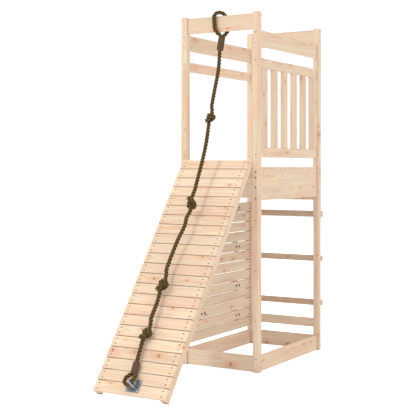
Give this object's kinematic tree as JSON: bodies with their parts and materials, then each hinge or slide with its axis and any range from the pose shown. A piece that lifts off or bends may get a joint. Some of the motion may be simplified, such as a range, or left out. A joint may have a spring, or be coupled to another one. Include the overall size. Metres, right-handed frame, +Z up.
{
  "type": "climbing play tower",
  "caption": "Wooden play tower with a raised deck, a slatted climbing ramp with a knotted rope, a side wall with climbing stones, a rung ladder and a balustrade.",
  "frame": {"origin": "middle of the bounding box in plan, on the ground", "axes": "+X across the tower from the climbing wall towards the balustrade, +Y from the ramp's foot towards the ladder, +Z up"},
  "size_m": [0.554, 1.8558, 2.1047],
  "materials": {
    "pine": "sanded, untreated",
    "pine_plank": "sanded, untreated",
    "rope": "twisted synthetic hemp",
    "steel": "galvanised",
    "stone_red": "matt, grainy",
    "stone_blue": "matt, grainy",
    "stone_yellow": "matt, grainy",
    "stone_green": "matt, grainy"
  },
  "bodies": {
    "frame": {"post_front_left": "pine", "post_front_right": "pine", "post_back_left": "pine", "post_back_right": "pine", "board_left_top": "pine", "board_right_top": "pine", "panel_left": "pine", "panel_right": "pine", "board_left_bottom": "pine", "board_right_bottom": "pine", "rail_left_guard": "pine", "balustrade_rail_top": "pine", "balustrade_rail_bottom": "pine", "balustrade_slat_1": "pine", "balustrade_slat_2": "pine", "balustrade_slat_3": "pine", "balustrade_slat_4": "pine", "balustrade_slat_5": "pine", "balustrade_slat_6": "pine", "ramp_stringer_left": "pine", "ramp_stringer_right": "pine", "wall_batten_front": "pine", "wall_batten_back": "pine", "beam_front_top": "pine_plank", "beam_back_top": "pine_plank", "panel_front": "pine_plank", "board_back_upper": "pine_plank", "board_back_lower": "pine_plank", "rail_back_low": "pine_plank", "board_front_bottom": "pine_plank", "board_back_bottom": "pine_plank", "deck_planks": "pine_plank", "ladder_rung_1": "pine_plank", "ladder_rung_2": "pine_plank", "ladder_rung_3": "pine_plank", "ramp_planks": "pine_plank", "wall_slats": "pine_plank", "rung_bolt_1_left": "steel", "rung_bolt_1_right": "steel", "rung_bolt_2_left": "steel", "rung_bolt_2_right": "steel", "rung_bolt_3_left": "steel", "rung_bolt_3_right": "steel", "anchor_plate": "steel", "anchor_bail": "steel", "rope_sleeve_top": "rope", "rope_sleeve_bottom": "rope", "beam_loop": "rope", "rope_eye_bottom": "rope", "climbing_stone_1": "stone_red", "climbing_stone_2": "stone_blue", "climbing_stone_3": "stone_yellow", "climbing_stone_4": "stone_green", "climbing_stone_5": "stone_red", "climbing_stone_6": "stone_blue", "climbing_stone_7": "stone_yellow"},
    "rope": {"climbing_rope": "rope"}
  },
  "joints": [
    {"name": "rope_swing", "type": "hinge", "parent": "frame", "child": "rope", "pos_m": [0.01296, 0.04179, 1.87], "axis": [0.0005, 0.4485, 0.8938], "range_deg": [-35, 35]}
  ]
}
